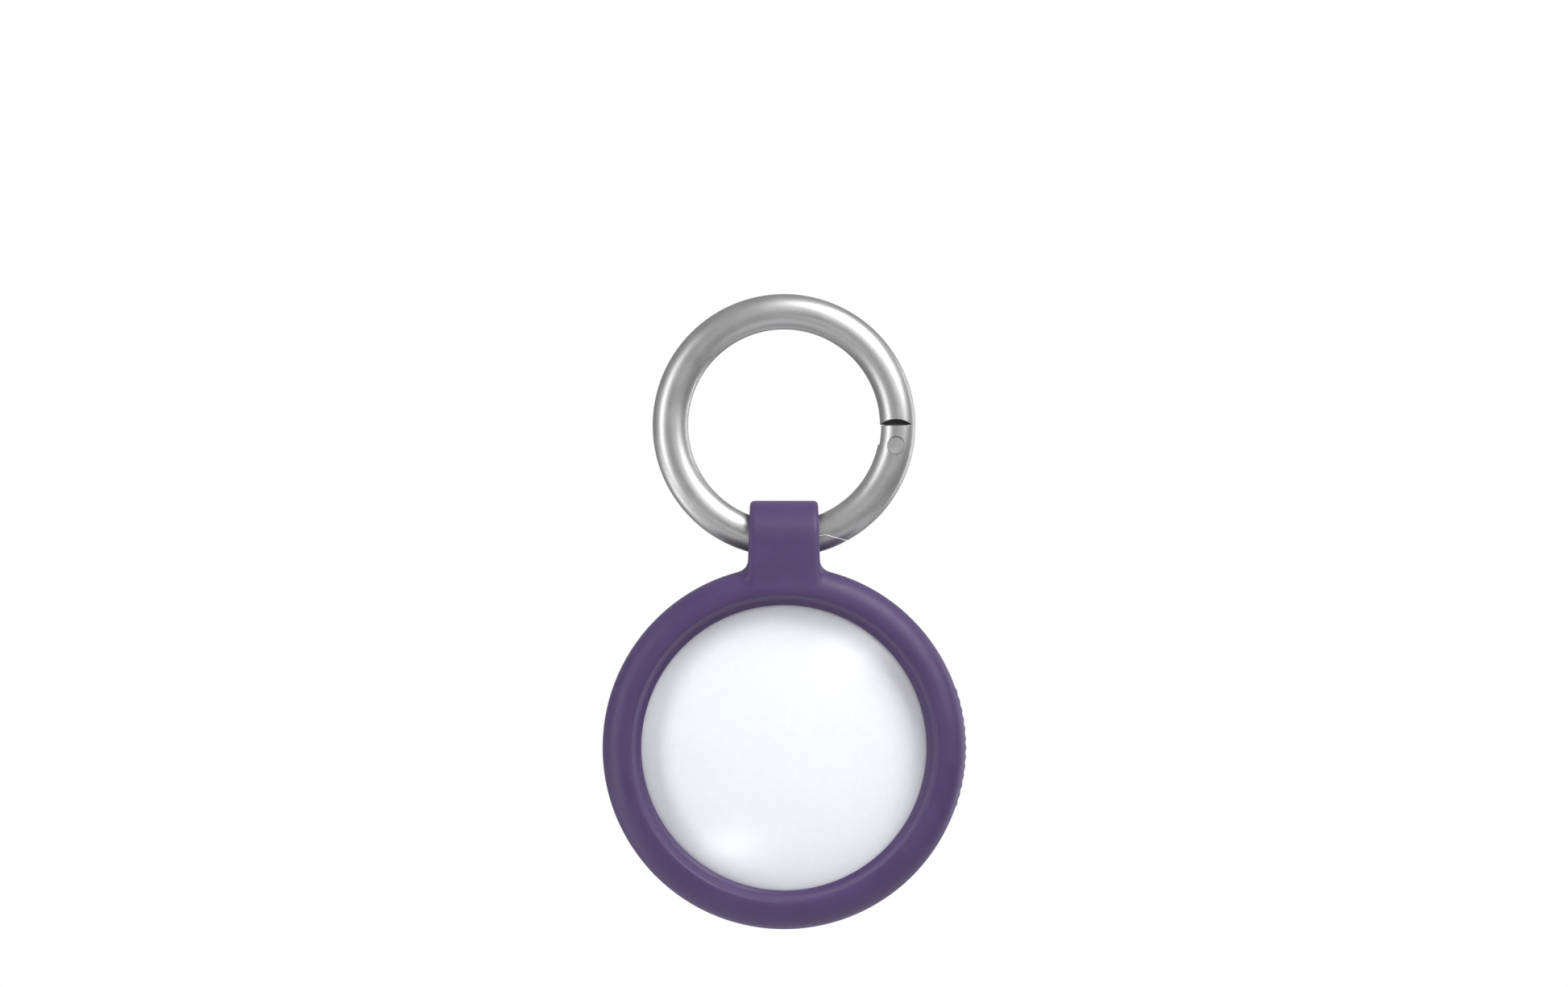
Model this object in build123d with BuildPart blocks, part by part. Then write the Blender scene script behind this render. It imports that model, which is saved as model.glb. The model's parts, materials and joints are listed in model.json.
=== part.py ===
from build123d import *
import os
from math import atan2, cos, degrees, hypot, radians, sin, sqrt

# Key ring holder for a coin-shaped item-finder tag: a sprung metal ring passes through a loop
# that is moulded in one with a soft silicone case, and the case grips the tag by two lips.
# Millimetres. The origin is the centre of the ring, +Z is up and the front faces -Y.

# ---- metal ring ----
ring_bore_d = 20.0
wire_d = 3.7
ring_mid_r = (ring_bore_d + wire_d) / 2
ring_in_r = ring_bore_d / 2
ring_out_r = ring_in_r + wire_d
wire_r = wire_d / 2

# ---- gate hinge ----
pin_angle = -10.2
pin_shank_d = 1.2
pin_head_d = 1.65
pin_head_t = 0.5
pin_sink = 0.15          # head below the crest of the wire
pin_groove = 0.1         # countersunk ring around each head
pin_flare = 20.0         # its wall opens outwards by this angle
pin_run = 0.04           # radial running clearance in the tongue
tongue_t = 1.3
tongue_r = 1.25
fork_gap = 0.06          # side gap between the tongue and each cheek of the gate
slot_gap = 0.1           # gap between the tongue's end and the slot's floor
heel_d = 1.0             # the flat that the spring bears on, below the pin
shoulder_gap = 0.07      # the gate's corner swings past the ring's shoulder
gate_gap = 0.05          # parting gap between the gate and the ring body
gate_open = 35.0         # full opening, degrees
swing_room = 3.0         # degrees beyond that, in the fork
eased = 0.04             # chamfer on the parting edges of the wire
pin_x = ring_mid_r * cos(radians(pin_angle))
pin_z = ring_mid_r * sin(radians(pin_angle))
shoulder_r = hypot(pin_x - ring_in_r, pin_z) + shoulder_gap

# ---- gate nose: a mitre at the outside that runs into a lap ----
mitre_outer_angle = -61.1
mitre_inner_angle = -68.8
lap_offset = 0.32        # the lap lies this far outside the wire's centre line
lap_fall = 0.18          # and comes this much nearer to it at its end
nose_cover = 0.28        # how far the nose reaches into the loop's mouth
nose_gap = 0.08          # the nose swings past the body's end
nose_top_z = ring_in_r * sin(radians(mitre_outer_angle))

# ---- gate spring ----
spring_wire_w = 0.15     # square wire
spring_mean_d = 0.72
spring_length = 3.2
spring_turns = 6
spring_offset = 0.45     # towards the inside of the ring, which gives the closing torque
spring_bore_gap = 0.08

# ---- loop, moulded in one with the case ----
loop_top_w = 7.1
loop_base_w = 7.7
loop_clear = 0.75        # play of the wire in the loop's hole
loop_rest_gap = 0.1      # the loop hangs on the wire at its two mouths
loop_wall_top = 1.4
loop_set_back = 0.5      # the loop's faces stand this far inside the case's crest
loop_edge_r = 0.45
mouth_r = 0.5
loop_floor = 0.22        # the hole's underside above the rim of the case
neck_bury = 2.5          # the neck reaches down to the case's crest
neck_step = 0.05         # its faces end this far inside the crest
neck_blend_r = 1.3

# ---- tag ----
tag_d = 31.9
tag_t = 8.0
tag_r = tag_d / 2
tag_half = tag_t / 2
dome_edge_in = 2.05      # where the shallow dome ends, in from the rim
dome_drop = 1.55
side_top_v = 0.4
side_low_v = -0.6
back_edge_in = 2.55
back_edge_drop = 0.65    # the white rim lies this far below the middle of the steel cover
shell_wall = 0.8
seam_v = 0.0
seam_t = 0.08

# ---- case ----
case_wall = 2.89
pocket_gap = 0.06
lip_reach = 1.1
lip_top_v = 2.85
cove_out = 0.5
cove_rise = 0.2
crest_out = 1.05
crest_stand = 0.9        # the crest stands this far above the tag's face
lip_edge_r = 0.2
cove_r = 0.5
crest_in_r = 0.35
rim_r = 2.4
grip_ribs = 13
grip_pitch = 3.0         # degrees
grip_rib_r = 0.35
grip_height = 0.11
grip_length = 4.0

# ---- battery bay ----
cell_d = 20.0
cell_t = 3.2
cell_cap_d = 17.8
cell_cap_step = 0.12
cell_bay_gap = 0.25
cell_top_v = 0.0         # the cell's negative face
floor_low_v = 0.25
floor_t = 0.4
contact_t = 0.1          # spring leaves that carry the cell's current
contact_w = 3.0
contact_reach = 1.8      # how far the side leaves reach down beside the cell
leaf_w = 2.2
window_z = 4.45          # the negative leaf's window, below the middle
window_h = 2.4
floor_top_v = floor_low_v + floor_t
spigot_gap = 0.1

# ---- battery cover ----
cover_in = 3.25          # in from the tag's rim
cover_t = 0.4
cover_gap = 0.12
cover_drop = 0.5         # its edge lies this far above its middle
cover_edge_r = 0.12
cover_glue = 0.02        # the bond between the steel plate and the plastic ring
cover_ring_t = 0.3
cover_ring_in = 0.5      # in from the plate's edge
cover_ring_bore_gap = 0.35
tab_out = 0.3            # how far the tabs reach past the plate
tab_count = 3
tab_sweep = 24.0
tab_gap = 0.1
notch_gap = 2.0          # degrees, at each side of a tab
cover_turn = 30.0        # twist that frees the cover
seal_bore_gap = 0.65
seal_w = 0.8
seal_t = 0.2
seal_gap = 0.03

# ---- board and loudspeaker ----
board_t = 0.6
board_edge_gap = 0.6     # to the carrier's skirt
board_bore_gap = 0.35    # to the magnet's cup
board_top_v = floor_top_v + board_t
magnet_r = 3.3
magnet_t = 1.15
pole_t = 0.25
coil_gap = 0.2           # between the magnet and the coil
coil_wall = 0.45
coil_rise = 0.65         # the coil hangs this far above the floor of the cup
coil_hang = 0.45         # and its boss stands this far below the dome's inside
cup_gap = 0.25
cup_wall = 0.45
cup_base = 0.3
cup_low = 0.1            # the cup's rim lies this far below the pole plate
lead_d = 0.12
lead_angle = 8.0
lead_start = 0.3
lead_over = 0.4          # the leads pass this far over the cup's rim
lead_out = 0.6
lead_splay = 0.3

# ---- antenna carrier ----
carrier_in_r = 8.0
carrier_in = 2.35        # its skirt lies this far in from the tag's rim
carrier_depth = 0.92
carrier_t = 0.38
skirt_t = 0.4
trace_t = 0.05
trace_w = 0.8
trace_in = 0.4           # in from the skirt
stub_w = 0.5
trace_sink = 0.01
tap_turns = 4
tap_start = 1.0
tap_pitch = 0.6
tap_w = 0.35

case_r = tag_r + pocket_gap + case_wall
lip_r = tag_r - lip_reach
crest_v = tag_half + crest_stand
hole_r = wire_r + loop_clear
hole_z = loop_rest_gap - sqrt(ring_in_r**2 - (loop_top_w / 2) ** 2) - hole_r
loop_top_z = hole_z + hole_r + loop_wall_top
neck_half_t = crest_v - loop_set_back
tag_z = hole_z - hole_r - loop_floor - case_r
bay_r = cell_d / 2 + cell_bay_gap
sphere_r = ((tag_r - dome_edge_in) ** 2 + dome_drop**2) / (2 * dome_drop)
cover_r = tag_r - cover_in
cover_sphere_r = (cover_r**2 + cover_drop**2) / (2 * cover_drop)
cover_ring_in_r = bay_r + cover_ring_bore_gap
cover_ring_out_r = cover_r - cover_ring_in
tab_r = cover_r + tab_out
seal_in_r = bay_r + seal_bore_gap
spigot_r = tag_r - shell_wall - spigot_gap
recess_r = cover_r + cover_gap
coil_in_r = magnet_r + coil_gap
coil_out_r = coil_in_r + coil_wall
coil_low_v = floor_top_v + cup_base + coil_rise
coil_top_v = tag_half - shell_wall - coil_hang
cup_r = coil_out_r + cup_gap + cup_wall
cup_h = cup_base + magnet_t + pole_t - cup_low
cup_top_v = floor_top_v + cup_h
carrier_out_r = tag_r - carrier_in
board_in_r = cup_r + board_bore_gap
board_out_r = carrier_out_r - skirt_t - board_edge_gap
board_mid_r = (board_in_r + board_out_r) / 2

far = 4 * case_r         # longer than anything that it cuts

# The tag's half section: local X is the radius and local Y points to the front.
section = Plane(origin=(0, 0, tag_z), x_dir=(1, 0, 0), z_dir=(0, 0, -1))
tag_axis = Axis((0, 0, tag_z), (0, -1, 0))


def layer(v):
    """A plane across the tag at height v; local Y is up and extrusion goes to the front."""
    return Plane(origin=(0, -v, tag_z), x_dir=(1, 0, 0), z_dir=(0, -1, 0))


def on_ring(radius, angle):
    return (radius * cos(radians(angle)), radius * sin(radians(angle)))


def from_pin(radius, angle):
    return (pin_x + radius * cos(radians(angle)), pin_z + radius * sin(radians(angle)))


def dome_v(radius, depth=0.0):
    """Height of the tag's front dome at a radius, at a depth below its skin."""
    return tag_half - sphere_r + sqrt((sphere_r - depth) ** 2 - radius**2)


def cover_v(radius, depth=0.0):
    """Height of the battery cover at a radius, at a depth below its shallow outside."""
    return cover_sphere_r - tag_half - sqrt((cover_sphere_r - depth) ** 2 - radius**2)


cover_ring_low_v = cover_v(cover_r, cover_t) + cover_glue
cover_ring_top_v = cover_ring_low_v + cover_ring_t
ledge_v = cover_ring_top_v + seal_gap + seal_t


def tag_section(grow):
    """The tag's half section, grown by a clearance or shrunk by a wall."""
    edge_r = tag_r - dome_edge_in
    back_r = tag_r - back_edge_in
    slope = (sqrt(sphere_r**2 - edge_r**2), -edge_r)
    with BuildSketch(section) as half:
        with BuildLine():
            ThreePointArc(
                (0, tag_half + grow),
                (edge_r / 2, dome_v(edge_r / 2) + grow),
                (edge_r, dome_v(edge_r) + grow),
            )
            TangentArc((edge_r, dome_v(edge_r) + grow), (tag_r + grow, side_top_v), tangent=slope)
            Line((tag_r + grow, side_top_v), (tag_r + grow, side_low_v))
            TangentArc(
                (tag_r + grow, side_low_v),
                (back_r, back_edge_drop - tag_half - grow),
                tangent=(0, -1),
            )
            Polyline(
                (back_r, back_edge_drop - tag_half - grow),
                (0, -tag_half - grow),
                (0, tag_half + grow),
            )
        make_face()
    return half.sketch


def on_skin(edge):
    """Whether an edge lies on the round skin of the wire."""
    points = [edge.position_at(share) for share in (0.1, 0.5, 0.9)]
    return all(abs(hypot(hypot(p.X, p.Z) - ring_mid_r, p.Y) - wire_r) < 0.01 for p in points)


def gate_zone(grow):
    """The stretch of the ring that is the gate, seen from the front."""
    nose_x = loop_top_w / 2 - nose_cover
    mitre_out = on_ring(ring_out_r, mitre_outer_angle)
    mitre_in = on_ring(ring_mid_r + lap_offset, mitre_inner_angle)
    run = (mitre_out[0] - mitre_in[0], mitre_out[1] - mitre_in[1])
    lap_r = ring_mid_r + lap_offset - lap_fall
    lap_end = (nose_x, -sqrt(lap_r**2 - nose_x**2))
    with BuildSketch(Plane.XZ) as zone:
        with BuildLine():
            FilletPolyline(
                (0.8 * ring_in_r, 0),
                (2 * ring_out_r, 0),
                (mitre_out[0] + run[0], mitre_out[1] + run[1]),
                mitre_in,
                lap_end,
                (nose_x, -0.8 * ring_in_r),
                radius=(0.3, 0.3, 0.5, 0.25),
            )
            Line((nose_x, -0.8 * ring_in_r), (0.8 * ring_in_r, 0))
        make_face()
        if grow:
            offset(amount=grow, kind=Kind.INTERSECTION)
    return zone.sketch


def save(piece, name):
    piece.part.label = name
    export_step(piece.part, f"parts/{name}.step")


os.makedirs("parts", exist_ok=True)

# ================= metal ring =================

# The ring body is the long stretch of wire. It ends at the hinge in a shoulder, cut as an arc
# about the pin, with a flat tongue in its middle, and at the nose in a lap that the gate meets.
nose_sweep_r = nose_gap + hypot(
    pin_x - (loop_top_w / 2 - nose_cover),
    pin_z + sqrt((ring_mid_r + lap_offset) ** 2 - (loop_top_w / 2 - nose_cover) ** 2),
)
with BuildPart() as ring_body:
    with BuildSketch(Plane.XY):
        with Locations((ring_mid_r, 0)):
            Circle(wire_r)
    revolve(axis=Axis.Y)
    extrude(gate_zone(gate_gap), amount=far, both=True, mode=Mode.SUBTRACT)
    # room for the nose to swing past the end of the lap
    with BuildSketch(Plane.XZ):
        with Locations((pin_x, pin_z)):
            Circle(nose_sweep_r)
        with BuildLine():
            Polyline(
                (-ring_out_r, 0),
                (ring_out_r * 2, 0),
                on_ring(ring_mid_r + lap_offset, mitre_inner_angle),
                on_ring(ring_mid_r + lap_offset - lap_fall - gate_gap, -80),
                on_ring(ring_mid_r + lap_offset - lap_fall - gate_gap, -100),
                (-ring_out_r, 0),
            )
        make_face(mode=Mode.INTERSECT)
        Rectangle(far, far, align=(Align.CENTER, Align.MAX), mode=Mode.INTERSECT)
    extrude(amount=far, both=True, mode=Mode.SUBTRACT)
    for side in (1, -1):
        with BuildSketch(Plane.XZ.offset(side * tongue_t / 2)):
            with Locations((pin_x, pin_z)):
                Circle(shoulder_r)
        extrude(amount=side * wire_d, mode=Mode.SUBTRACT)
    with BuildSketch(Plane.XZ):
        with Locations((pin_x, pin_z)):
            Circle(tongue_r)
            Rectangle(2 * tongue_r, shoulder_r, align=(Align.CENTER, Align.MIN))
        with Locations(Location((pin_x, pin_z), pin_angle)):
            with Locations((0, -heel_d)):
                Rectangle(far, far, align=(Align.CENTER, Align.MAX), mode=Mode.SUBTRACT)
            Circle(pin_shank_d / 2 + pin_run, mode=Mode.SUBTRACT)
    extrude(amount=tongue_t / 2, both=True)
    ends = ring_body.edges().filter_by(GeomType.BSPLINE).filter_by(on_skin)
    chamfer(ends.filter_by(lambda e: abs(e.center().Y) > tongue_t / 2 or e.center().Z < 0), eased)
save(ring_body, "ring_body")

# The gate is a fork at its hinge end: two cheeks beside the tongue, closed on the outside.
bore_far = heel_d + spring_length
with BuildPart() as ring_gate:
    with BuildSketch(Plane.XY):
        with Locations((ring_mid_r, 0)):
            Circle(wire_r)
    revolve(axis=Axis.Y)
    extrude(gate_zone(0), amount=far, both=True, mode=Mode.INTERSECT)
    slot_r = tongue_r + slot_gap
    swing = 180 + gate_open + swing_room
    lean = (-sin(radians(swing - 180)), cos(radians(swing - 180)))
    foot = from_pin(slot_r, swing)
    with BuildSketch(Plane.XZ):
        with BuildLine():
            Polyline(
                foot,
                (foot[0] + far * lean[0], foot[1] + far * lean[1]),
                (pin_x + slot_r, far),
                (pin_x + slot_r, pin_z),
                foot,
            )
        make_face()
        with Locations((pin_x, pin_z)):
            Circle(slot_r)
    extrude(amount=tongue_t / 2 + fork_gap, both=True, mode=Mode.SUBTRACT)
    with BuildSketch(Plane.XZ):
        with Locations((pin_x, pin_z)):
            Circle(pin_shank_d / 2)
    extrude(amount=far, both=True, mode=Mode.SUBTRACT)
    head_low = wire_r - pin_sink - pin_head_t
    for side in (1, -1):
        with BuildSketch(Plane.XZ.offset(side * head_low)):
            with Locations((pin_x, pin_z)):
                Circle(pin_head_d / 2)
        extrude(amount=side * wire_d, mode=Mode.SUBTRACT)
        with BuildSketch(Plane.XZ.offset(side * (wire_r - pin_sink - pin_groove))):
            with Locations((pin_x, pin_z)):
                Circle(pin_head_d / 2 + pin_groove)
        extrude(amount=side * wire_d, taper=-pin_flare, mode=Mode.SUBTRACT)
    outline = ring_gate.edges().filter_by(on_skin)
    chamfer(outline.filter_by_position(Axis.Z, -0.01, 0.01), eased)
    chamfer(outline.filter_by(lambda e: e.center().Z < nose_top_z), eased)
    # blind bore for the spring, on the inside of the pin
    spring_x = pin_x - spring_offset * cos(radians(pin_angle))
    spring_z = pin_z - spring_offset * sin(radians(pin_angle))
    down = (sin(radians(pin_angle)), 0, -cos(radians(pin_angle)))
    with BuildSketch(Plane(origin=(spring_x, 0, spring_z), z_dir=down)):
        Circle((spring_mean_d + spring_wire_w) / 2 + spring_bore_gap)
    extrude(amount=bore_far, mode=Mode.SUBTRACT)
save(ring_gate, "ring_gate")

# Riveted pin: a shank through the tongue and a flat head sunk into each cheek.
with BuildPart() as gate_pin:
    with BuildSketch(Plane.XZ):
        with Locations((pin_x, pin_z)):
            Circle(pin_shank_d / 2)
    extrude(amount=wire_r - pin_sink - pin_head_t / 2, both=True)
    for side in (1, -1):
        with BuildSketch(Plane.XZ.offset(side * head_low)):
            with Locations((pin_x, pin_z)):
                Circle(pin_head_d / 2)
        extrude(amount=side * pin_head_t)
    heads = gate_pin.edges().filter_by(GeomType.CIRCLE).sort_by(Axis.Y)
    chamfer([heads[0], heads[-1]], 0.06)
save(gate_pin, "gate_pin")

# Compression spring between the heel of the tongue and the end of its bore.
coil_height = spring_length - 2 * spring_wire_w
coil_start = heel_d + spring_wire_w
with BuildPart() as gate_spring:
    with BuildLine() as coil:
        Helix(
            pitch=coil_height / spring_turns,
            height=coil_height,
            radius=spring_mean_d / 2,
            center=(spring_x + coil_start * down[0], 0, spring_z + coil_start * down[2]),
            direction=down,
        )
    with BuildSketch(coil.line ^ 0):
        Rectangle(spring_wire_w, spring_wire_w)
    sweep(is_frenet=True)
save(gate_spring, "gate_spring")

# ================= silicone case =================

neck_low_z = tag_z + case_r - neck_bury
neck_h = loop_top_z - neck_half_t - neck_low_z
neck_base_half_t = crest_v - neck_step
neck_lean = 90 - degrees(atan2(neck_base_half_t - neck_half_t, neck_h))
with BuildPart() as neck:
    with BuildSketch(Plane.YZ):
        with Locations((0, loop_top_z - neck_half_t)):
            Circle(neck_half_t)
            Trapezoid(2 * neck_base_half_t, neck_h, neck_lean, align=(Align.CENTER, Align.MAX))
    extrude(amount=loop_base_w, both=True)
    with BuildSketch(Plane.XZ):
        with BuildLine():
            Polyline(
                (-loop_base_w / 2, neck_low_z),
                (-loop_top_w / 2, loop_top_z),
                (loop_top_w / 2, loop_top_z),
                (loop_base_w / 2, neck_low_z),
                close=True,
            )
        make_face()
    extrude(amount=far, both=True, mode=Mode.INTERSECT)
    rims = neck.edges().filter_by(lambda e: abs(e.center().X) > loop_top_w / 4)
    rims = rims.filter_by(lambda e: e.center().Z > neck_low_z + 0.1)
    rims = rims.filter_by(lambda e: abs(e.center().Y) > 0.1 or e.center().Z > hole_z + hole_r)
    fillet(rims, loop_edge_r)
    with BuildSketch(Plane.YZ):
        with Locations((0, hole_z)):
            Circle(hole_r)
    extrude(amount=far, both=True, mode=Mode.SUBTRACT)
    fillet(neck.edges().filter_by(GeomType.ELLIPSE), mouth_r)

with BuildPart() as silicone_case:
    with BuildSketch(section):
        with BuildLine():
            FilletPolyline(
                (lip_r, 0),
                (lip_r, lip_top_v),
                (lip_r + cove_out, lip_top_v + cove_rise),
                (lip_r + crest_out, crest_v),
                (case_r, crest_v),
                (case_r, 0),
                radius=(lip_edge_r, cove_r, crest_in_r, rim_r),
            )
            Line((case_r, 0), (lip_r, 0))
        make_face()
        mirror(about=Plane(section.origin, x_dir=(1, 0, 0), z_dir=(0, 1, 0)))
    revolve(axis=tag_axis)
    add(neck.part)
    joins = silicone_case.edges(Select.LAST).filter_by(
        lambda e: e.center().Z < hole_z - hole_r and e.length < 2 * loop_base_w
    )
    fillet(joins, neck_blend_r)
    revolve(tag_section(pocket_gap), axis=tag_axis, mode=Mode.SUBTRACT)
    # raised ribs on one side of the rim, for grip
    with BuildSketch(layer(-grip_length / 2)):
        with PolarLocations(
            case_r + grip_height - grip_rib_r,
            grip_ribs,
            start_angle=-grip_pitch * (grip_ribs - 1) / 2,
            angular_range=grip_pitch * grip_ribs,
            endpoint=False,
        ):
            Circle(grip_rib_r)
    extrude(amount=grip_length)
save(silicone_case, "silicone_case")

# ================= tag: shells =================

with BuildPart() as front_dome:
    revolve(tag_section(0), axis=tag_axis)
    with BuildSketch(layer(seam_v)):
        Circle(far)
    extrude(amount=-far, mode=Mode.SUBTRACT)
    revolve(tag_section(-shell_wall), axis=tag_axis, mode=Mode.SUBTRACT)
    with BuildSketch(layer(coil_top_v)):
        Circle(coil_out_r)
        Circle(coil_in_r, mode=Mode.SUBTRACT)
    extrude(amount=tag_half - shell_wall / 2 - coil_top_v)
save(front_dome, "front_dome")

with BuildPart() as rear_shell:
    revolve(tag_section(0), axis=tag_axis)
    with BuildSketch(layer(seam_v - seam_t)):
        Circle(far)
    extrude(amount=far, mode=Mode.SUBTRACT)
    with BuildSketch(layer(side_low_v)):
        Circle(spigot_r)
    extrude(amount=floor_top_v - side_low_v)
    with BuildSketch(layer(-far)):
        Circle(bay_r)
    extrude(amount=far + floor_low_v, mode=Mode.SUBTRACT)
    with BuildSketch(layer(-far)):
        Circle(recess_r)
    extrude(amount=far + ledge_v, mode=Mode.SUBTRACT)
    # groove for the cover's tabs, and the three notches where they drop in
    with BuildSketch(layer(cover_ring_low_v - tab_gap)):
        Circle(tab_r + tab_gap)
    extrude(amount=cover_ring_top_v + tab_gap - cover_ring_low_v + tab_gap, mode=Mode.SUBTRACT)
    for n in range(tab_count):
        middle = 90 - cover_turn + n * 360 / tab_count
        with BuildSketch(layer(-far)):
            with BuildLine():
                Polyline(
                    (0, 0),
                    on_ring(far, middle - tab_sweep / 2 - notch_gap),
                    on_ring(far, middle + tab_sweep / 2 + notch_gap),
                    close=True,
                )
            make_face()
            Circle(tab_r + tab_gap, mode=Mode.INTERSECT)
        extrude(amount=far + cover_ring_low_v, mode=Mode.SUBTRACT)
    # windows in the floor for the battery contacts
    with BuildSketch(layer(floor_low_v)):
        with Locations((0, -window_z)):
            Rectangle(leaf_w + 0.8, window_h)
    extrude(amount=floor_t, mode=Mode.SUBTRACT)
    with BuildSketch(layer(-contact_reach - 0.2)):
        with Locations((bay_r, 0), (-bay_r, 0)):
            Rectangle(1.0, contact_w + 0.4)
    extrude(amount=contact_reach + 0.2 + floor_top_v, mode=Mode.SUBTRACT)
save(rear_shell, "rear_shell")

with BuildPart() as dome_adhesive:
    with BuildSketch(layer(seam_v - seam_t)):
        Circle(tag_r - 0.15)
        Circle(spigot_r + spigot_gap, mode=Mode.SUBTRACT)
    extrude(amount=seam_t)
save(dome_adhesive, "dome_adhesive")

# ================= tag: loudspeaker =================

with BuildPart() as magnet_cup:
    with BuildSketch(layer(floor_top_v)):
        Circle(cup_r)
    extrude(amount=cup_h)
    with BuildSketch(layer(floor_top_v + cup_base)):
        Circle(cup_r - cup_wall)
    extrude(amount=cup_h, mode=Mode.SUBTRACT)
save(magnet_cup, "magnet_cup")

with BuildPart() as speaker_magnet:
    with BuildSketch(layer(floor_top_v + cup_base)):
        Circle(magnet_r)
    extrude(amount=magnet_t)
save(speaker_magnet, "speaker_magnet")

with BuildPart() as pole_plate:
    with BuildSketch(layer(floor_top_v + cup_base + magnet_t)):
        Circle(magnet_r)
    extrude(amount=pole_t)
save(pole_plate, "pole_plate")

with BuildPart() as voice_coil:
    with BuildSketch(layer(coil_low_v)):
        Circle(coil_out_r)
        Circle(coil_in_r, mode=Mode.SUBTRACT)
    extrude(amount=coil_top_v - coil_low_v)
save(voice_coil, "voice_coil")

# Two fine wires go from the coil over the cup's wall to the board.
with BuildPart() as coil_leads:
    for side in (1, -1):
        with BuildLine(section.rotated((0, side * lead_angle, 0))) as lead:
            FilletPolyline(
                (coil_out_r + lead_d / 2, coil_top_v - lead_start),
                (coil_out_r + lead_d / 2, cup_top_v + lead_over),
                (cup_r + lead_out, cup_top_v + lead_over),
                (cup_r + lead_out + lead_splay, board_top_v),
                radius=0.15,
            )
        with BuildSketch(lead.line ^ 0):
            Circle(lead_d / 2)
        sweep(path=lead.line)
save(coil_leads, "coil_leads")

# ================= tag: antennas on their carrier =================

with BuildPart() as antenna_carrier:
    with BuildSketch(section):
        with BuildLine():
            outer_mid = (carrier_in_r + carrier_out_r) / 2
            ThreePointArc(
                (carrier_in_r, dome_v(carrier_in_r, carrier_depth)),
                (outer_mid, dome_v(outer_mid, carrier_depth)),
                (carrier_out_r, dome_v(carrier_out_r, carrier_depth)),
            )
            skirt_r = carrier_out_r - skirt_t
            skirt_v = dome_v(skirt_r, carrier_depth + carrier_t)
            Polyline(
                (carrier_out_r, dome_v(carrier_out_r, carrier_depth)),
                (carrier_out_r, floor_top_v),
                (skirt_r, floor_top_v),
                (skirt_r, skirt_v),
            )
            inner_mid = (carrier_in_r + skirt_r) / 2
            ThreePointArc(
                (skirt_r, skirt_v),
                (inner_mid, dome_v(inner_mid, carrier_depth + carrier_t)),
                (carrier_in_r, dome_v(carrier_in_r, carrier_depth + carrier_t)),
            )
            Line(
                (carrier_in_r, dome_v(carrier_in_r, carrier_depth + carrier_t)),
                (carrier_in_r, dome_v(carrier_in_r, carrier_depth)),
            )
        make_face()
    revolve(axis=tag_axis)
save(antenna_carrier, "antenna_carrier")


def trace_section(in_r, out_r):
    """A strip of metal that lies on the carrier between two radii."""
    low = carrier_depth - trace_sink
    with BuildSketch(section) as strip:
        with BuildLine():
            Polyline(
                (in_r, dome_v(in_r, low)),
                (out_r, dome_v(out_r, low)),
                (out_r, dome_v(out_r, low - trace_t)),
                (in_r, dome_v(in_r, low - trace_t)),
                close=True,
            )
        make_face()
    return strip.sketch


trace_out_r = carrier_out_r - trace_in
trace_in_r = trace_out_r - trace_w

with BuildPart() as short_range_antenna:
    revolve(trace_section(trace_in_r, trace_out_r), axis=tag_axis, revolution_arc=110)
save(short_range_antenna, "short_range_antenna")

with BuildPart() as wideband_antenna:
    revolve(trace_section(trace_in_r, trace_out_r), axis=tag_axis, revolution_arc=-70)
    revolve(trace_section(trace_in_r - stub_w, trace_in_r), axis=tag_axis, revolution_arc=-20)
save(wideband_antenna, "wideband_antenna")

with BuildPart() as tap_antenna:
    for turn in range(tap_turns):
        turn_r = carrier_in_r + tap_start + turn * tap_pitch
        revolve(trace_section(turn_r, turn_r + tap_w), axis=tag_axis, revolution_arc=350)
save(tap_antenna, "tap_antenna")

# ================= tag: circuit board =================

with BuildPart() as circuit_board:
    with BuildSketch(layer(floor_top_v)):
        Circle(board_out_r)
        Circle(board_in_r, mode=Mode.SUBTRACT)
        with PolarLocations(board_out_r, 3, start_angle=30):
            Circle(0.8, mode=Mode.SUBTRACT)
    extrude(amount=board_t)
save(circuit_board, "circuit_board")

shield_mid_r = board_in_r + 2.8


def board_chip(angle, width, height, tall, radius=board_mid_r):
    """A flat package on the board, square to the radius."""
    with BuildSketch(layer(board_top_v)) as pad:
        with PolarLocations(radius, 1, start_angle=angle):
            Rectangle(width, height)
    return extrude(pad.sketch, amount=tall)


with BuildPart() as processor_chip:
    add(board_chip(20, 3.4, 3.4, 0.4))
save(processor_chip, "processor_chip")

with BuildPart() as motion_chip:
    add(board_chip(-30, 2.0, 2.0, 0.4))
save(motion_chip, "motion_chip")

with BuildPart() as sound_chip:
    add(board_chip(-70, 1.6, 1.6, 0.35))
save(sound_chip, "sound_chip")

with BuildPart() as memory_chip:
    add(board_chip(-5, 2.2, 2.0, 0.35))
save(memory_chip, "memory_chip")

with BuildPart() as timing_crystal:
    add(board_chip(45, 1.0, 1.6, 0.35))
save(timing_crystal, "timing_crystal")

with BuildPart() as power_coil:
    add(board_chip(-125, 2.0, 2.0, 0.45))
save(power_coil, "power_coil")

with BuildPart() as board_capacitors:
    for angle in (150, 162, 174, 186, 198):
        add(board_chip(angle, 2.2, 1.2, 0.42))
save(board_capacitors, "board_capacitors")

with BuildPart() as wideband_chip:
    add(board_chip(90, 2.8, 3.0, 0.3, shield_mid_r))
save(wideband_chip, "wideband_chip")

with BuildPart() as radio_shield:
    add(board_chip(90, 4.2, 6.0, 0.5, shield_mid_r))
    add(board_chip(90, 4.0, 5.8, 0.4, shield_mid_r), mode=Mode.SUBTRACT)
save(radio_shield, "radio_shield")

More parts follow.
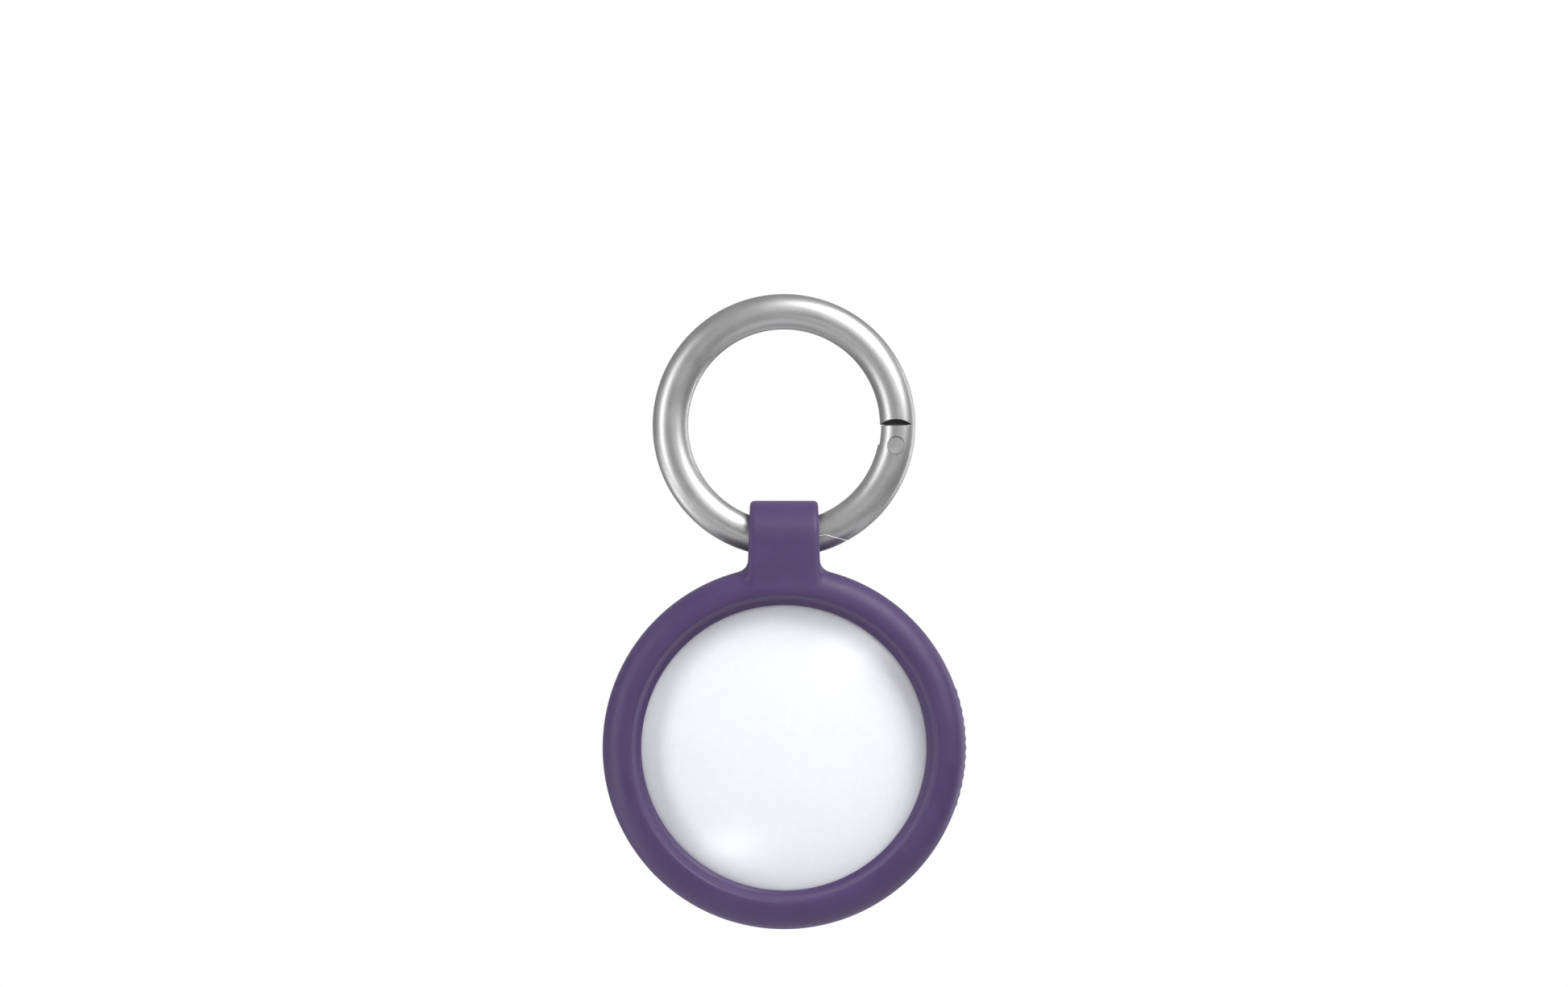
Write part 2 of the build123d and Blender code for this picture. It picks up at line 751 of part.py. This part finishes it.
# ================= tag: battery and its contacts =================

with BuildPart() as coin_cell:
    with BuildSketch(layer(cell_top_v - cell_t)):
        Circle(cell_d / 2)
    extrude(amount=cell_t - cell_cap_step)
    can_rims = coin_cell.edges().filter_by(GeomType.CIRCLE)
    fillet(can_rims, 0.3)
    with BuildSketch(layer(cell_top_v - cell_t / 2)):
        Circle(cell_cap_d / 2)
    extrude(amount=cell_t / 2)
save(coin_cell, "coin_cell")

# The negative contact is a leaf that rises from the board through its window to the cell.
with BuildPart() as negative_contact:
    with BuildSketch(Plane(origin=(0, 0, tag_z), x_dir=(0, 0, 1), z_dir=(1, 0, 0))):
        with BuildLine():
            Polyline(
                (-window_z - 0.4 * window_h, floor_top_v),
                (-window_z - 0.4 * window_h, floor_top_v - contact_t),
                (-window_z - 0.1 * window_h, floor_top_v - contact_t),
                (-window_z + 0.3 * window_h, cell_top_v),
                (cell_cap_d / 8, cell_top_v),
                (cell_cap_d / 8, cell_top_v + contact_t),
                (-window_z + 0.35 * window_h, cell_top_v + contact_t),
                (-window_z - 0.05 * window_h, floor_top_v),
                close=True,
            )
        make_face()
    extrude(amount=leaf_w / 2, both=True)
save(negative_contact, "negative_contact")

with BuildPart() as positive_contacts:
    with BuildSketch(layer(-contact_reach)):
        with Locations((cell_d / 2 + contact_t / 2, 0), (-cell_d / 2 - contact_t / 2, 0)):
            Rectangle(contact_t, contact_w)
    extrude(amount=contact_reach + floor_top_v)
save(positive_contacts, "positive_contacts")

# ================= battery cover =================

with BuildPart() as cover_seal:
    with BuildSketch(layer(ledge_v - seal_t)):
        Circle(seal_in_r + seal_w)
        Circle(seal_in_r, mode=Mode.SUBTRACT)
    extrude(amount=seal_t)
save(cover_seal, "cover_seal")

with BuildPart() as cover_plate:
    with BuildSketch(section):
        with BuildLine():
            Line((0, cover_t - tag_half), (0, -tag_half))
            ThreePointArc(
                (0, -tag_half),
                (cover_r / 2, cover_v(cover_r / 2)),
                (cover_r - cover_edge_r, cover_v(cover_r - cover_edge_r)),
            )
            Polyline(
                (cover_r - cover_edge_r, cover_v(cover_r - cover_edge_r)),
                (cover_r, cover_v(cover_r) + cover_edge_r),
                (cover_r, cover_v(cover_r, cover_t)),
            )
            ThreePointArc(
                (cover_r, cover_v(cover_r, cover_t)),
                (cover_r / 2, cover_v(cover_r / 2, cover_t)),
                (0, cover_t - tag_half),
            )
        make_face()
    revolve(axis=tag_axis)
save(cover_plate, "cover_plate")

with BuildPart() as cover_ring:
    with BuildSketch(layer(cover_ring_low_v)):
        Circle(cover_ring_out_r)
        for n in range(tab_count):
            middle = 90 + n * 360 / tab_count
            with BuildLine():
                Polyline(
                    (0, 0),
                    on_ring(2 * tab_r, middle - tab_sweep / 2),
                    on_ring(2 * tab_r, middle + tab_sweep / 2),
                    close=True,
                )
            make_face()
        Circle(tab_r, mode=Mode.INTERSECT)
        Circle(cover_ring_in_r, mode=Mode.SUBTRACT)
    extrude(amount=cover_ring_top_v - cover_ring_low_v)
save(cover_ring, "cover_ring")
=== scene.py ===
import json
from math import asin, cos, degrees, hypot, pi, radians, sin

import bmesh
import bpy
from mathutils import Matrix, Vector


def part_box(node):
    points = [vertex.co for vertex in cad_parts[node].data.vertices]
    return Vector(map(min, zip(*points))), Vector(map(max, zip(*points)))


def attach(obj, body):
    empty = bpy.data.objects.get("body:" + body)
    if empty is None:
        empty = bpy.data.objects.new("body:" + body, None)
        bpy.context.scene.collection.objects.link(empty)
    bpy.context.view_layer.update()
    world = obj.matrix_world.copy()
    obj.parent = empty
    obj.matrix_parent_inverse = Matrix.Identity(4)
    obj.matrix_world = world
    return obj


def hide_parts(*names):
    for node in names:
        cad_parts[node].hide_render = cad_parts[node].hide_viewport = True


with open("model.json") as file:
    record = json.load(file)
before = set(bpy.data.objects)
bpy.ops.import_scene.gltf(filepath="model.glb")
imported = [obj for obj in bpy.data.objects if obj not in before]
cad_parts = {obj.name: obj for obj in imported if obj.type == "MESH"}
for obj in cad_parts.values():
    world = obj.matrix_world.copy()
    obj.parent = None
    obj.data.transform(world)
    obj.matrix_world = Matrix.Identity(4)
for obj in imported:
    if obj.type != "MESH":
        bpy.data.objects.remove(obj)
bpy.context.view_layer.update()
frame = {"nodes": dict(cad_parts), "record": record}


nodes = frame["nodes"]
body_of = {node: body for body, members in frame["record"]["behaviour"]["bodies"].items()
           for node in members}

# Metres. The ring's centre is the origin, +Z is up and the front faces -Y.
MM = 0.001
ring_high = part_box("ring_body")[1]
tag_low, tag_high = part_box("front_dome")
tag_z = (tag_low.z + tag_high.z) / 2
tag_r = (tag_high.x - tag_low.x) / 2


# ================= shader node groups =================

def new_group(name, inputs, outputs):
    """A shader node group with its inputs (name, kind, default) and outputs (name, kind)."""
    group = bpy.data.node_groups.new(name, "ShaderNodeTree")
    for socket, kind, default in inputs:
        made = group.interface.new_socket(name=socket, in_out="INPUT", socket_type=kind)
        made.default_value = default
    for socket, kind in outputs:
        group.interface.new_socket(name=socket, in_out="OUTPUT", socket_type=kind)
    return group, group.nodes.new("NodeGroupInput"), group.nodes.new("NodeGroupOutput")


def add_node(tree, kind, links=(), **settings):
    """A node with its settings, and links given as (input, source socket or constant)."""
    node = tree.nodes.new(kind)
    for name, value in settings.items():
        setattr(node, name, value)
    for socket, source in links:
        if isinstance(source, bpy.types.NodeSocket):
            tree.links.new(source, node.inputs[socket])
        else:
            node.inputs[socket].default_value = source
    return node


def math_node(tree, operation, *terms):
    return add_node(tree, "ShaderNodeMath", list(enumerate(terms)), operation=operation).outputs[0]


def ramp_between(tree, value, low, high):
    """0 below low and 1 above high, with a smooth step between them."""
    return add_node(tree, "ShaderNodeMapRange",
                    [(0, value), (1, low), (2, high), (3, 0.0), (4, 1.0)],
                    interpolation_type="SMOOTHSTEP").outputs[0]


def object_point(tree):
    return tree.nodes.new("ShaderNodeTexCoord").outputs["Object"]


def build_grain_group():
    """Fine blasted or moulded grain: a speckle with a slower mottle under it."""
    group, given, out = new_group("surface_grain", [
        ("Grain Size", "NodeSocketFloat", 0.1),
        ("Mottle Size", "NodeSocketFloat", 3.0),
        ("Depth", "NodeSocketFloat", 0.004),
    ], [("Grain", "NodeSocketFloat"), ("Mottle", "NodeSocketFloat"), ("Normal", "NodeSocketVector")])
    point = object_point(group)
    fine = add_node(group, "ShaderNodeTexNoise", [
        ("Vector", point),
        ("Scale", math_node(group, "DIVIDE", 1 / MM, given.outputs["Grain Size"])),
        ("Detail", 2.0), ("Roughness", 0.6)])
    slow = add_node(group, "ShaderNodeTexNoise", [
        ("Vector", point),
        ("Scale", math_node(group, "DIVIDE", 1 / MM, given.outputs["Mottle Size"])),
        ("Detail", 4.0), ("Roughness", 0.55)])
    bump = add_node(group, "ShaderNodeBump", [
        ("Strength", 1.0),
        ("Distance", math_node(group, "MULTIPLY", given.outputs["Depth"], MM)),
        ("Height", fine.outputs[0])])
    group.links.new(ramp_between(group, fine.outputs[0], 0.3, 0.7), out.inputs["Grain"])
    group.links.new(ramp_between(group, slow.outputs[0], 0.35, 0.65), out.inputs["Mottle"])
    group.links.new(bump.outputs[0], out.inputs["Normal"])
    return group


def build_scuff_group():
    """Hairline handling marks in two crossing directions, thin and sparse."""
    group, given, out = new_group("handling_scuffs", [
        ("Spacing", "NodeSocketFloat", 1.5),
        ("Amount", "NodeSocketFloat", 0.5),
    ], [("Scuffs", "NodeSocketFloat")])
    point = object_point(group)
    lines = []
    for turn, stretch in ((35, 14.0), (-50, 11.0)):
        placed = add_node(group, "ShaderNodeMapping", [
            ("Vector", point), ("Rotation", (radians(turn), radians(turn * 0.6), 0)),
            ("Scale", (1.0, stretch, 1.0))])
        noise = add_node(group, "ShaderNodeTexNoise", [
            ("Vector", placed.outputs[0]),
            ("Scale", math_node(group, "DIVIDE", 0.25 / MM, given.outputs["Spacing"])),
            ("Detail", 3.0), ("Roughness", 0.5)])
        away = math_node(group, "ABSOLUTE", math_node(group, "SUBTRACT", noise.outputs[0], 0.5))
        lines.append(ramp_between(group, away, 0.012, 0.003))
    where = add_node(group, "ShaderNodeTexNoise", [
        ("Vector", point), ("Scale", 0.12 / MM), ("Detail", 2.0)])
    both = math_node(group, "MAXIMUM", lines[0], lines[1])
    patchy = math_node(group, "MULTIPLY", both, ramp_between(group, where.outputs[0], 0.45, 0.7))
    group.links.new(math_node(group, "MULTIPLY", patchy, given.outputs["Amount"]), out.inputs["Scuffs"])
    return group


def build_turned_group():
    """Fine rings about the tag's axis, as a turned or polished face has."""
    group, given, out = new_group("turned_finish", [
        ("Pitch", "NodeSocketFloat", 0.12),
        ("Depth", "NodeSocketFloat", 0.001),
    ], [("Rings", "NodeSocketFloat"), ("Normal", "NodeSocketVector")])
    centred = add_node(group, "ShaderNodeMapping", [
        ("Vector", object_point(group)), ("Location", (0, 0, -tag_z))])
    parts = add_node(group, "ShaderNodeSeparateXYZ", [(0, centred.outputs[0])])
    squares = [math_node(group, "MULTIPLY", parts.outputs[n], parts.outputs[n]) for n in (0, 2)]
    radius = math_node(group, "SQRT", math_node(group, "ADD", *squares))
    along = add_node(group, "ShaderNodeCombineXYZ", [
        (0, math_node(group, "DIVIDE", math_node(group, "DIVIDE", radius, MM),
                      given.outputs["Pitch"]))])
    rings = add_node(group, "ShaderNodeTexNoise", [
        ("Vector", along.outputs[0]), ("Scale", 1.0), ("Detail", 3.0), ("Roughness", 0.7)])
    bump = add_node(group, "ShaderNodeBump", [
        ("Strength", 1.0),
        ("Distance", math_node(group, "MULTIPLY", given.outputs["Depth"], MM)),
        ("Height", rings.outputs[0])])
    group.links.new(ramp_between(group, rings.outputs[0], 0.3, 0.7), out.inputs["Rings"])
    group.links.new(bump.outputs[0], out.inputs["Normal"])
    return group


grain_group = build_grain_group()
scuff_group = build_scuff_group()
turned_group = build_turned_group()


# ================= materials =================

def place_group(tree, group, **values):
    node = tree.nodes.new("ShaderNodeGroup")
    node.node_tree = group
    for name, value in values.items():
        node.inputs[name.replace("_", " ")].default_value = value
    return node.outputs


def blank_material(name, **sockets):
    """A material with one Principled shader and its plain values set on the shader's sockets."""
    material = bpy.data.materials.get(name) or bpy.data.materials.new(name)
    material.use_nodes = True
    tree = material.node_tree
    tree.nodes.clear()
    shader = tree.nodes.new("ShaderNodeBsdfPrincipled")
    output = tree.nodes.new("ShaderNodeOutputMaterial")
    tree.links.new(shader.outputs[0], output.inputs["Surface"])
    for socket, value in sockets.items():
        shader.inputs[socket.replace("_", " ")].default_value = value
    return material, tree, shader


def mix_colours(tree, mask, first, second):
    mix = add_node(tree, "ShaderNodeMix", data_type="RGBA")
    mix.inputs[6].default_value = (*first, 1)
    mix.inputs[7].default_value = (*second, 1)
    tree.links.new(mask, mix.inputs[0])
    return mix.outputs[2]


def blend_value(tree, mask, low, high):
    return add_node(tree, "ShaderNodeMapRange", [(0, mask), (3, low), (4, high)]).outputs[0]


def grained(name, dark, light, rough, grain=0.1, mottle=3.0, depth=0.004, scuffs=0.0, **sockets):
    """A finish with fine grain: two close colours, a spread of roughness and a shallow bump."""
    material, tree, shader = blank_material(name, **sockets)
    marks = place_group(tree, grain_group, Grain_Size=grain, Mottle_Size=mottle, Depth=depth)
    cloud = math_node(tree, "MULTIPLY_ADD", marks["Grain"], 0.6,
                      math_node(tree, "MULTIPLY", marks["Mottle"], 0.4))
    tree.links.new(mix_colours(tree, cloud, dark, light), shader.inputs["Base Color"])
    roughness = blend_value(tree, marks["Mottle"], rough[0], rough[1])
    if scuffs:
        worn = place_group(tree, scuff_group, Spacing=2.0, Amount=scuffs)
        roughness = math_node(tree, "MULTIPLY_ADD", worn["Scuffs"], -0.5 * rough[0], roughness)
    tree.links.new(roughness, shader.inputs["Roughness"])
    tree.links.new(marks["Normal"], shader.inputs["Normal"])
    return material


# Bead-blasted zinc: an even satin grey that spreads each highlight.
grained("ring_metal", (0.43, 0.43, 0.432), (0.50, 0.50, 0.502), (0.42, 0.45), grain=0.16,
        mottle=2.5, depth=0.0012, Metallic=1.0)

# Painted shade: a near-black metal for the faces inside the hinge, so the recess there reads dark.
grained("painted_shade_metal", (0.055, 0.055, 0.057), (0.085, 0.085, 0.087), (0.45, 0.6), grain=0.12,
        mottle=0.8, depth=0.003, Metallic=1.0)

# Rivet heads: machined flat, a little smoother than the ring.
grained("pin_metal", (0.52, 0.52, 0.522), (0.58, 0.58, 0.582), (0.36, 0.42), grain=0.12,
        mottle=0.8, depth=0.001, scuffs=0.3, Metallic=1.0)

grained("spring_steel", (0.45, 0.45, 0.47), (0.6, 0.6, 0.62), (0.22, 0.34), grain=0.04,
        mottle=0.6, depth=0.002, Metallic=1.0)

grained("purple_silicone", (0.051, 0.026, 0.094), (0.063, 0.035, 0.115), (0.46, 0.54),
        grain=0.13, mottle=4.0, depth=0.004, Specular_IOR_Level=0.38, Sheen_Weight=0.10,
        Sheen_Roughness=0.45, Sheen_Tint=(0.75, 0.68, 1.0, 1))

grained("white_gloss", (0.765, 0.775, 0.81), (0.79, 0.80, 0.83), (0.17, 0.21), grain=0.6,
        mottle=6.0, depth=0.0004, scuffs=0.1, Subsurface_Weight=0.25, Subsurface_Scale=0.002,
        Subsurface_Radius=(1.0, 0.9, 0.8))

grained("white_satin", (0.84, 0.845, 0.86), (0.88, 0.885, 0.895), (0.34, 0.42), grain=0.12,
        mottle=5.0, depth=0.004, scuffs=0.2)

grained("clear_glue", (0.62, 0.62, 0.56), (0.74, 0.74, 0.69), (0.18, 0.4), grain=0.3,
        mottle=2.0, depth=0.01)

grained("copper_wire", (0.48, 0.19, 0.075), (0.62, 0.27, 0.11), (0.24, 0.36), grain=0.06,
        mottle=0.8, depth=0.004, Metallic=1.0)

grained("nickel_magnet", (0.58, 0.57, 0.55), (0.7, 0.69, 0.67), (0.18, 0.3), grain=0.1,
        mottle=1.2, depth=0.003, scuffs=0.4, Metallic=1.0)

grained("plated_steel", (0.55, 0.55, 0.55), (0.68, 0.68, 0.675), (0.24, 0.38), grain=0.08,
        mottle=1.5, depth=0.003, scuffs=0.4, Metallic=1.0)

grained("carrier_plastic", (0.66, 0.65, 0.62), (0.73, 0.725, 0.7), (0.42, 0.55), grain=0.1,
        mottle=2.0, depth=0.006)

grained("gold_trace", (0.72, 0.5, 0.2), (0.86, 0.63, 0.3), (0.2, 0.32), grain=0.06,
        mottle=1.0, depth=0.002, Metallic=1.0)

grained("board_green", (0.018, 0.085, 0.04), (0.03, 0.13, 0.06), (0.28, 0.42), grain=0.25,
        mottle=1.6, depth=0.006, Coat_Weight=0.3, Coat_Roughness=0.25)

grained("chip_black", (0.014, 0.014, 0.015), (0.03, 0.03, 0.032), (0.45, 0.6), grain=0.05,
        mottle=1.0, depth=0.006)

grained("ferrite_grey", (0.07, 0.07, 0.075), (0.12, 0.12, 0.125), (0.5, 0.7), grain=0.08,
        mottle=0.8, depth=0.01)

grained("ceramic_tan", (0.4, 0.28, 0.17), (0.5, 0.37, 0.24), (0.35, 0.5), grain=0.08,
        mottle=0.7, depth=0.004)

grained("cell_steel", (0.6, 0.6, 0.6), (0.72, 0.72, 0.715), (0.24, 0.36), grain=0.09,
        mottle=2.5, depth=0.003, scuffs=0.5, Metallic=1.0)

grained("seal_rubber", (0.014, 0.014, 0.014), (0.026, 0.026, 0.027), (0.55, 0.7), grain=0.08,
        mottle=1.5, depth=0.008)

grained("ring_plastic", (0.055, 0.055, 0.058), (0.09, 0.09, 0.094), (0.45, 0.6), grain=0.12,
        mottle=2.0, depth=0.008)


def polished_steel():
    """The battery cover: a bright polish over faint turning rings, with hairline marks."""
    material, tree, shader = blank_material("polished_steel", Metallic=1.0)
    turned = place_group(tree, turned_group, Pitch=0.10, Depth=0.0006)
    worn = place_group(tree, scuff_group, Spacing=2.5, Amount=0.6)
    cloud = place_group(tree, grain_group, Grain_Size=0.3, Mottle_Size=5.0, Depth=0.0)
    tree.links.new(mix_colours(tree, turned["Rings"], (0.62, 0.62, 0.625), (0.70, 0.70, 0.705)),
                   shader.inputs["Base Color"])
    smear = blend_value(tree, cloud["Mottle"], 0.10, 0.17)
    tree.links.new(math_node(tree, "MULTIPLY_ADD", worn["Scuffs"], 0.12, smear),
                   shader.inputs["Roughness"])
    tree.links.new(turned["Normal"], shader.inputs["Normal"])


polished_steel()


# ================= pieces =================

def spin_profile(bm, points, steps=256):
    """Turns a chain of (radius, height) points all the way round the tag's axis and closes its
    poles. The chain lies in the half plane right of the axis."""
    chain = [bm.verts.new((radius * MM, -height * MM, tag_z)) for radius, height in points]
    for near, away in zip(chain, chain[1:]):
        bm.edges.new((near, away))
    bmesh.ops.spin(bm, geom=bm.verts[:] + bm.edges[:], cent=(0, 0, tag_z), axis=(0, 1, 0),
                   angle=2 * pi, steps=steps, use_merge=True)
    bmesh.ops.remove_doubles(bm, verts=bm.verts, dist=0.0005 * MM)
    bmesh.ops.recalc_face_normals(bm, faces=bm.faces)


def arc(centre, radius, start, end, steps):
    """Points of an arc between two angles, in degrees."""
    turns = [radians(start + (end - start) * n / steps) for n in range(steps + 1)]
    return [(centre[0] + radius * cos(turn), centre[1] + radius * sin(turn)) for turn in turns]


def finish_piece(bm, name, node, sharp_angle=35.0):
    """Turns a bmesh into the piece that stands for a CAD node, in that node's finish."""
    mesh = bpy.data.meshes.new(name)
    bm.to_mesh(mesh)
    bm.free()
    slot = nodes[node].material_slots[0].material
    mesh.materials.append(slot)
    mesh.polygons.foreach_set("use_smooth", [True] * len(mesh.polygons))
    mesh.set_sharp_from_angle(angle=radians(sharp_angle))
    piece = bpy.data.objects.new(name, mesh)
    bpy.context.scene.collection.objects.link(piece)
    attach(piece, body_of[node])
    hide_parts(node)
    return piece


def cap_radius(half_width, rise):
    """Radius of the sphere whose cap is that wide and that high."""
    return (half_width ** 2 + rise ** 2) / (2 * rise)


def build_front_dome():
    """The white dome: one shallow curve that rolls over a tight shoulder into a straight side,
    a wall of even thickness inside it, and the boss that the voice coil hangs from."""
    top = -tag_low.y / MM
    radius = tag_r / MM
    wall = 0.8
    shoulder_w = 2.05
    fall = 1.55
    side_top = 0.4
    handle_share = 0.55
    coil_in, coil_out, boss_drop = 3.5, 3.95, 1.25
    edge = radius - shoulder_w
    sphere = cap_radius(edge, fall)
    slope = degrees(asin(edge / sphere))

    def skin(depth):
        """The dome's curve and its shoulder, at a depth below the outside."""
        crown = arc((0, top - sphere), sphere - depth, 90, 90 - slope, 40)
        start, end = crown[-1], (radius - depth, side_top)
        handle = handle_share * hypot(end[0] - start[0], end[1] - start[1])
        lean = radians(-slope)
        knee = (start[0] + handle * cos(lean), start[1] + handle * sin(lean))
        ankle = (end[0], end[1] + handle)
        turn = []
        steps = 24
        for n in range(1, steps + 1):
            t = n / steps
            parts = ((1 - t) ** 3, 3 * t * (1 - t) ** 2, 3 * t * t * (1 - t), t ** 3)
            turn.append(tuple(sum(share * point[k] for share, point in
                                  zip(parts, (start, knee, ankle, end))) for k in (0, 1)))
        return crown + turn

    inside = skin(wall)[::-1]
    boss_low = top - boss_drop
    middle = [point for point in inside if point[0] < coil_in]
    outer = [point for point in inside if point[0] > coil_out]
    boss = [(coil_out, boss_low), (coil_in, boss_low)]
    foot = [(radius, 0.0), (radius - wall, 0.0)]
    bm = bmesh.new()
    spin_profile(bm, skin(0.0) + foot + outer + boss + middle)
    finish_piece(bm, "white_dome", "front_dome", 30.0)


def build_cover_plate():
    """The polished battery cover: a thin spherical dish with a rolled edge."""
    low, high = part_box("cover_plate")
    width = (high.x - low.x) / 2 / MM
    back = -high.y / MM
    sheet, fall, roll = 0.4, 0.5, 0.12
    sphere = cap_radius(width, fall)
    reach = degrees(asin((width - roll) / sphere))
    outside = arc((0, back + sphere), sphere, -90, -90 + reach, 40)
    rim = [(width - 0.3 * roll, outside[-1][1] + 0.12 * roll),
           (width, outside[-1][1] + 0.5 * roll), (width, outside[-1][1] + sheet - 0.02)]
    inside = arc((0, back + sphere), sphere - sheet, -90 + reach, -90, 24)
    bm = bmesh.new()
    spin_profile(bm, outside + rim + inside)
    finish_piece(bm, "battery_cover", "cover_plate", 30.0)


def build_gate_spring():
    """Round spring wire, wound about the axis of its bore."""
    low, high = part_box("gate_spring")
    turns, steps_each = 6, 28
    wire, coil_r, length = 0.15 * MM, 0.36 * MM, 2.9 * MM
    lean = radians(10.2)
    down = Vector((-sin(lean), 0, -cos(lean)))
    across = Vector((0, 1, 0))
    middle = Vector(((low.x + high.x) / 2, 0, (low.z + high.z) / 2))
    start = middle - down * length / 2
    bm = bmesh.new()
    bmesh.ops.create_circle(bm, segments=10, radius=wire / 2)
    turn = Vector((0, 0, 1)).rotation_difference(across.cross(down)).to_matrix().to_4x4()
    bmesh.ops.transform(bm, verts=bm.verts, matrix=turn)
    bmesh.ops.translate(bm, verts=bm.verts, vec=start + across * coil_r)
    steps = turns * steps_each
    bmesh.ops.spin(bm, geom=bm.verts[:] + bm.edges[:], cent=start, axis=down,
                   dvec=down * length / steps, angle=turns * 2 * pi, steps=steps)
    ends = [edge for edge in bm.edges if edge.is_boundary]
    bmesh.ops.holes_fill(bm, edges=ends)
    bmesh.ops.recalc_face_normals(bm, faces=bm.faces)
    finish_piece(bm, "gate_spring_wire", "gate_spring")


def soften_case():
    """The silicone case, taken from its CAD shape and relaxed so that every crease rolls over."""
    bm = bmesh.new()
    bm.from_mesh(nodes["silicone_case"].data)
    bmesh.ops.remove_doubles(bm, verts=bm.verts, dist=0.0015 * MM)
    piece = finish_piece(bm, "soft_case", "silicone_case", 180.0)
    remesh = piece.modifiers.new("even_skin", "REMESH")
    remesh.mode = "VOXEL"
    remesh.voxel_size = 0.2 * MM
    remesh.use_smooth_shade = True
    relax = piece.modifiers.new("relaxed", "SMOOTH")
    relax.factor = 0.5
    relax.iterations = 2


def mark_painted_shade_faces():
    """The ring's tongue and shoulder, inside the hinge, get the near-black metal as painted shade for
    the recess.
    """
    ring = nodes["ring_body"]
    ring.data.materials.append(bpy.data.materials["painted_shade_metal"])
    tongue_half = 0.66 * MM
    inner_x, low_z, high_z = 0.6 * ring_high.x, -5 * MM, 1.5 * MM
    for face in ring.data.polygons:
        near_hinge = face.center.x > inner_x and low_z < face.center.z < high_z
        flat = abs(face.normal.y) > 0.99 or abs(face.normal.y) < 0.002
        if near_hinge and flat and abs(face.center.y) < tongue_half:
            # painted shade: these recess faces take the near-black metal
            face.material_index = 1


build_front_dome()
build_cover_plate()
build_gate_spring()
soften_case()
mark_painted_shade_faces()


# ================= floor, light and camera =================

def add_floor():
    """A small round pale table, well below the hanging tag."""
    table_r, table_z = 0.12, -0.11
    bm = bmesh.new()
    bmesh.ops.create_circle(bm, cap_ends=True, segments=128, radius=table_r)
    bmesh.ops.translate(bm, verts=bm.verts, vec=(0, 0, table_z))
    mesh = bpy.data.meshes.new("floor")
    bm.to_mesh(mesh)
    bm.free()
    floor = bpy.data.objects.new("floor", mesh)
    bpy.context.scene.collection.objects.link(floor)
    mesh.materials.append(grained("pale_floor", (0.80, 0.80, 0.80), (0.84, 0.84, 0.84),
                                  (0.6, 0.7), grain=2.0, mottle=40.0, depth=0.02))


def add_softbox(name, towards, distance, width, height, power):
    """An area light in a direction from the object's middle, facing it."""
    data = bpy.data.lights.new(name, "AREA")
    data.shape = "RECTANGLE"
    data.size = width
    data.size_y = height
    data.energy = power
    light = bpy.data.objects.new(name, data)
    bpy.context.scene.collection.objects.link(light)
    middle = Vector((0, 0, tag_z / 2))
    out = Vector(towards).normalized()
    light.location = middle + out * distance
    light.rotation_euler = out.to_track_quat("Z", "Y").to_euler()
    light.visible_camera = False


def light_room():
    """White behind the object; a softer grey all round it, brighter overhead."""
    world = bpy.data.worlds.new("studio")
    bpy.context.scene.world = world
    world.use_nodes = True
    tree = world.node_tree
    tree.nodes.clear()
    up = add_node(tree, "ShaderNodeSeparateXYZ",
                  [(0, tree.nodes.new("ShaderNodeTexCoord").outputs["Generated"])])
    level = add_node(tree, "ShaderNodeMapRange",
                     [(0, up.outputs[2]), (1, -1.0), (2, 1.0), (3, 0.24), (4, 0.60)])
    seen = add_node(tree, "ShaderNodeBackground", [("Color", (1, 1, 1, 1)), ("Strength", 1.0)])
    around = add_node(tree, "ShaderNodeBackground", [("Strength", level.outputs[0])])
    rays = tree.nodes.new("ShaderNodeLightPath")
    mix = add_node(tree, "ShaderNodeMixShader", [
        (0, rays.outputs["Is Camera Ray"]), (1, around.outputs[0]), (2, seen.outputs[0])])
    add_node(tree, "ShaderNodeOutputWorld", [(0, mix.outputs[0])])


def add_camera():
    """A long lens straight in front of the ring and the tag."""
    data = bpy.data.cameras.new("camera")
    data.sensor_width = 36.0
    distance = 1.5
    view_width = 0.1635
    middle_z = -0.0071
    data.lens = data.sensor_width * distance / view_width
    camera = bpy.data.objects.new("camera", data)
    bpy.context.scene.collection.objects.link(camera)
    camera.location = (0, -distance, middle_z)
    camera.rotation_euler = (radians(90), 0, 0)
    bpy.context.scene.camera = camera


add_floor()
light_room()

# Name, direction, distance, width, height and watts.
add_softbox("left_strip", (-0.87, -0.5, 0.05), 0.45, 0.12, 0.5, 1.1)
add_softbox("upper_right", (0.45, -0.42, 0.78), 0.45, 0.28, 0.22, 1.8)
add_softbox("right_upper", (0.75, -0.55, 0.35), 0.45, 0.2, 0.2, 0.6)
add_softbox("front_high", (0.25, -0.92, 0.30), 0.6, 0.14, 0.08, 0.25)
add_softbox("front_low", (-0.18, -0.907, -0.38), 0.613, 0.12, 0.035, 0.17)
add_softbox("right_edge", (0.77, 0.60, 0.0), 0.4, 0.05, 0.4, 0.4)
add_softbox("low_left", (-0.68, 0.05, -0.73), 0.35, 0.05, 0.4, 0.6)
add_camera()
bpy.context.scene.view_settings.view_transform = "Standard"
